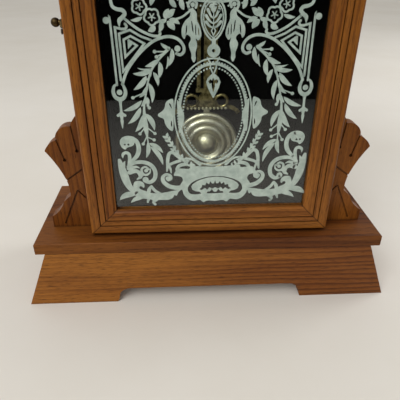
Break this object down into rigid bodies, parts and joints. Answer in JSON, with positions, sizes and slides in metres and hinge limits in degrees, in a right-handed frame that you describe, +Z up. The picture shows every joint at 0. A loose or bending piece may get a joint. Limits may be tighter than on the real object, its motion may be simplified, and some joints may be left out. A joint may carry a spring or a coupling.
{
  "type": "gingerbread clock",
  "caption": "Shelf clock in a carved walnut case with wing ornaments, ornamented glass door, dial, strike movement and pendulum.",
  "frame": {"origin": "on the shelf, under the middle of the platform", "axes": "+X to the clock's right as seen from the front, +Y to its back, +Z up"},
  "size_m": [0.3814, 0.1238, 0.5835],
  "materials": {
    "case_walnut": "satin shellac over grain-filled walnut",
    "base_walnut": "satin shellac over oak and walnut veneer",
    "back_pine": "dark stained softwood",
    "window_glass": "clear sheet glass with pale enamel ornament",
    "hinge_brass": "pressed and lacquered",
    "movement_brass": "stamped sheet brass",
    "arbor_steel": "drawn and polished steel wire",
    "spring_steel": "blued spring steel",
    "screw_steel": "turned steel, slightly dulled",
    "dial_paint": "cream enamel paint with black numerals",
    "hand_black": "blackened steel",
    "bob_brass": "pressed brass, lightly silvered and tarnished",
    "gong_iron": "rough cast and blackened"
  },
  "bodies": {
    "case": {"front_apron": "base_walnut", "right_apron": "base_walnut", "left_apron": "base_walnut", "platform": "base_walnut", "right_case_side": "case_walnut", "left_case_side": "case_walnut", "back_board": "back_pine", "case_cap": "case_walnut", "right_wing": "case_walnut", "left_wing": "case_walnut", "crown": "case_walnut", "case_hinge_leaves": "hinge_brass", "hinge_pins": "hinge_brass", "case_screws": "screw_steel", "latch_screw": "hinge_brass", "dial_supports": "back_pine", "dial_pan": "dial_paint", "dial_bezel": "hinge_brass", "front_plate": "movement_brass", "back_plate": "movement_brass", "plate_pillars": "arbor_steel", "plate_nuts": "arbor_steel", "movement_posts": "arbor_steel", "gong_base": "gong_iron", "coil_gong": "spring_steel", "time_mainspring": "spring_steel", "strike_mainspring": "spring_steel"},
    "door": {"door_right_stile": "case_walnut", "door_left_stile": "case_walnut", "door_bottom_rail": "case_walnut", "door_top_rail": "case_walnut", "door_glass": "window_glass", "glass_beads": "case_walnut", "door_hinge_leaves": "hinge_brass", "door_screws": "screw_steel"},
    "latch": {"latch_hook": "hinge_brass"},
    "centre": {"centre_arbor": "movement_brass", "minute_hand": "hand_black", "hand_nut": "movement_brass"},
    "hour": {"hour_wheel": "movement_brass", "hour_hand": "hand_black"},
    "minute_wheel": {"minute_wheel": "movement_brass"},
    "time_great": {"time_great_wheel": "movement_brass"},
    "time_winding": {"time_winding_arbor": "arbor_steel"},
    "time_second": {"time_second_wheel": "movement_brass"},
    "third": {"third_wheel": "movement_brass"},
    "escape": {"escape_wheel": "movement_brass"},
    "verge": {"verge": "arbor_steel"},
    "pendulum": {"suspension_rod": "arbor_steel", "pendulum_frame": "bob_brass", "pendulum_bob": "bob_brass"},
    "strike_great": {"strike_great_wheel": "movement_brass"},
    "strike_winding": {"strike_winding_arbor": "arbor_steel"},
    "strike_second": {"strike_second_wheel": "movement_brass"},
    "pin_wheel": {"pin_wheel": "movement_brass"},
    "warning": {"warning_wheel": "movement_brass"},
    "fly": {"fly": "movement_brass"},
    "count_wheel": {"count_wheel": "movement_brass"},
    "hammer": {"hammer": "arbor_steel"}
  },
  "joints": [
    {"name": "door_hinge", "type": "hinge", "parent": "case", "child": "door", "pos_m": [0.1212, -0.03145, 0.331], "axis": [0, 0, 1], "range_deg": [0, 95]},
    {"name": "latch_pivot", "type": "hinge", "parent": "case", "child": "latch", "pos_m": [-0.1215, -0.02, 0.2695], "axis": [1, 0, 0], "range_deg": [0, 18]},
    {"name": "minute_hand_turn", "type": "hinge", "parent": "case", "child": "centre", "pos_m": [0, 0, 0.376], "axis": [0, 1, 0], "continuous": true},
    {"name": "hour_hand_turn", "type": "hinge", "parent": "case", "child": "hour", "pos_m": [0, 0, 0.376], "axis": [0, 1, 0], "continuous": true},
    {"name": "minute_wheel_turn", "type": "hinge", "parent": "case", "child": "minute_wheel", "pos_m": [-0.01188, 0, 0.36412], "axis": [0, 1, 0], "continuous": true},
    {"name": "time_second_turn", "type": "hinge", "parent": "case", "child": "time_second", "pos_m": [0.02093, 0, 0.37775], "axis": [0, 1, 0], "continuous": true},
    {"name": "time_great_turn", "type": "hinge", "parent": "case", "child": "time_great", "pos_m": [0.029, 0, 0.35], "axis": [0, 1, 0], "continuous": true},
    {"name": "third_turn", "type": "hinge", "parent": "case", "child": "third", "pos_m": [0.00699, 0, 0.39394], "axis": [0, 1, 0], "continuous": true},
    {"name": "escape_turn", "type": "hinge", "parent": "case", "child": "escape", "pos_m": [0, 0, 0.40998], "axis": [0, 1, 0], "continuous": true},
    {"name": "time_winding_turn", "type": "hinge", "parent": "case", "child": "time_winding", "pos_m": [0.029, 0, 0.35], "axis": [0, 1, 0], "continuous": true},
    {"name": "pendulum_swing", "type": "hinge", "parent": "case", "child": "pendulum", "pos_m": [0, 0.03, 0.42798], "axis": [0, 1, 0], "range_deg": [-4, 4]},
    {"name": "verge_rock", "type": "hinge", "parent": "case", "child": "verge", "pos_m": [0, 0, 0.42798], "axis": [0, 1, 0], "range_deg": [-4, 4]},
    {"name": "pin_wheel_turn", "type": "hinge", "parent": "case", "child": "pin_wheel", "pos_m": [-0.02401, 0, 0.39863], "axis": [0, 1, 0], "continuous": true},
    {"name": "strike_second_turn", "type": "hinge", "parent": "case", "child": "strike_second", "pos_m": [-0.03102, 0, 0.37883], "axis": [0, 1, 0], "continuous": true},
    {"name": "strike_great_turn", "type": "hinge", "parent": "case", "child": "strike_great", "pos_m": [-0.029, 0, 0.35], "axis": [0, 1, 0], "continuous": true},
    {"name": "count_wheel_turn", "type": "hinge", "parent": "case", "child": "count_wheel", "pos_m": [-0.029, 0, 0.35], "axis": [0, 1, 0], "continuous": true},
    {"name": "warning_turn", "type": "hinge", "parent": "case", "child": "warning", "pos_m": [-0.03001, 0, 0.41319], "axis": [0, 1, 0], "continuous": true},
    {"name": "fly_turn", "type": "hinge", "parent": "case", "child": "fly", "pos_m": [-0.03853, 0, 0.42429], "axis": [0, 1, 0], "continuous": true},
    {"name": "strike_winding_turn", "type": "hinge", "parent": "case", "child": "strike_winding", "pos_m": [-0.029, 0, 0.35], "axis": [0, 1, 0], "continuous": true},
    {"name": "hammer_lift", "type": "hinge", "parent": "case", "child": "hammer", "pos_m": [-0.05, 0, 0.398], "axis": [0, 1, 0], "range_deg": [0, 10], "stiffness_Nm_per_rad": 0.01, "springref_deg": -17.19}
  ],
  "couplings": [
    {"joint": "third_turn", "follows": "escape_turn", "ratio": -0.11111},
    {"joint": "minute_hand_turn", "follows": "escape_turn", "ratio": 0.011111},
    {"joint": "minute_wheel_turn", "follows": "escape_turn", "ratio": -0.0037037},
    {"joint": "hour_hand_turn", "follows": "escape_turn", "ratio": 0.00092593},
    {"joint": "time_second_turn", "follows": "escape_turn", "ratio": -0.0018519},
    {"joint": "time_great_turn", "follows": "escape_turn", "ratio": 0.00024691},
    {"joint": "verge_rock", "follows": "pendulum_swing", "ratio": 1},
    {"joint": "warning_turn", "follows": "fly_turn", "ratio": -0.14286},
    {"joint": "pin_wheel_turn", "follows": "fly_turn", "ratio": 0.017857},
    {"joint": "strike_second_turn", "follows": "fly_turn", "ratio": -0.0029762},
    {"joint": "strike_great_turn", "follows": "fly_turn", "ratio": 0.00039683},
    {"joint": "count_wheel_turn", "follows": "fly_turn", "ratio": -0.000099206}
  ]
}
